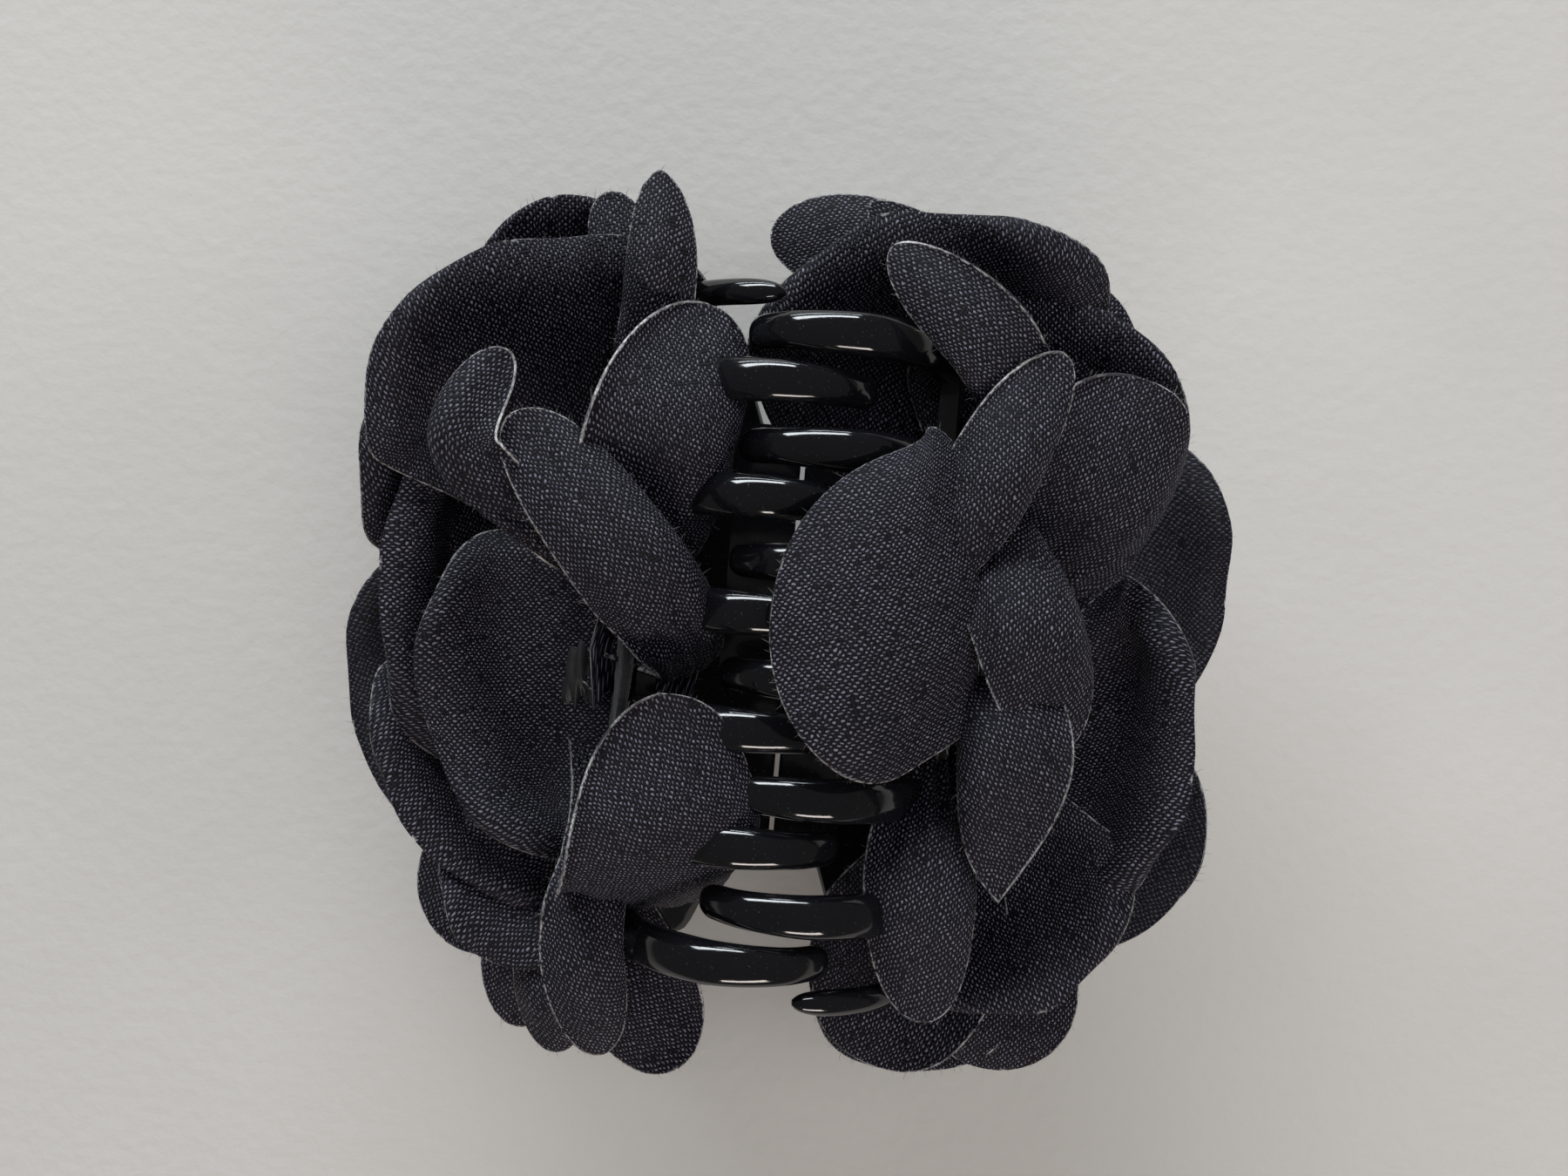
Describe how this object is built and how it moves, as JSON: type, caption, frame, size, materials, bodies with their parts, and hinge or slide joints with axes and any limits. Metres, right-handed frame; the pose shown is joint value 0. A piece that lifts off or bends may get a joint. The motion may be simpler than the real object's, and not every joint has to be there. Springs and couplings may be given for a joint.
{
  "type": "hair claw clip",
  "caption": "Black claw hair clip: two interlocking moulded jaws on a sprung pin, each covered by a loose rose of cut crepe petals.",
  "frame": {"origin": "middle of the clip's bottom, on the surface its two finger levers stand on", "axes": "+Z from the finger levers up to the teeth; Y along the hinge pin; X from the left flower to the right flower"},
  "size_m": [0.1103, 0.1102, 0.07],
  "materials": {
    "jaw_plastic": "polished black",
    "spring_steel": "drawn wire",
    "felt": "pressed felt",
    "glue": "cooled hot glue",
    "crepe": "woven crepe"
  },
  "bodies": {
    "left_side": {"left_jaw": "jaw_plastic", "hinge_pin": "spring_steel", "pin_cap": "spring_steel", "torsion_spring": "spring_steel", "left_felt_pad": "felt", "left_glue_mound": "glue", "left_petal_top_cup": "crepe", "left_petal_top_inner": "crepe", "left_petal_centre_fold": "crepe", "left_petal_centre_rim": "crepe", "left_petal_centre_cup": "crepe", "left_petal_front_pouch": "crepe", "left_petal_top_spire": "crepe", "left_petal_low_finger": "crepe", "left_petal_upper_wall": "crepe", "left_petal_centre_wall": "crepe", "left_petal_top_back": "crepe", "left_petal_top_sliver": "crepe", "left_petal_low_fold": "crepe", "left_petal_outer_side": "crepe", "left_petal_low_back_a": "crepe", "left_petal_low_back_b": "crepe", "left_petal_low_inner": "crepe", "left_petal_upper_deep": "crepe", "left_petal_deep_side": "crepe", "left_petal_low_outer": "crepe", "left_petal_under_top": "crepe", "left_petal_under_upper": "crepe", "left_petal_under_lower": "crepe", "left_petal_under_low": "crepe"},
    "right_side": {"right_jaw": "jaw_plastic", "right_felt_pad": "felt", "right_glue_mound": "glue", "right_petal_front_disc": "crepe", "right_petal_centre_tail": "crepe", "right_petal_centre_twist": "crepe", "right_petal_top_roll": "crepe", "right_petal_top_fold": "crepe", "right_petal_centre_fold": "crepe", "right_petal_side_fold": "crepe", "right_petal_upper_cup": "crepe", "right_petal_lower_cup": "crepe", "right_petal_low_shell": "crepe", "right_petal_low_tongue": "crepe", "right_petal_low_inner": "crepe", "right_petal_top_tip": "crepe", "right_petal_top_deep": "crepe", "right_petal_top_centre": "crepe", "right_petal_low_deep": "crepe", "right_petal_low_back": "crepe", "right_petal_deep_side": "crepe", "right_petal_far_deep": "crepe", "right_petal_under_top": "crepe", "right_petal_under_upper": "crepe", "right_petal_under_lower": "crepe", "right_petal_under_low": "crepe"}
  },
  "joints": [
    {"name": "jaw_hinge", "type": "hinge", "parent": "left_side", "child": "right_side", "pos_m": [0.0003, -0.0019, 0.021], "axis": [0, 1, 0], "range_deg": [0, 45], "stiffness_Nm_per_rad": 0.25, "springref_deg": -28.65, "deforming": ["torsion_spring"]}
  ]
}
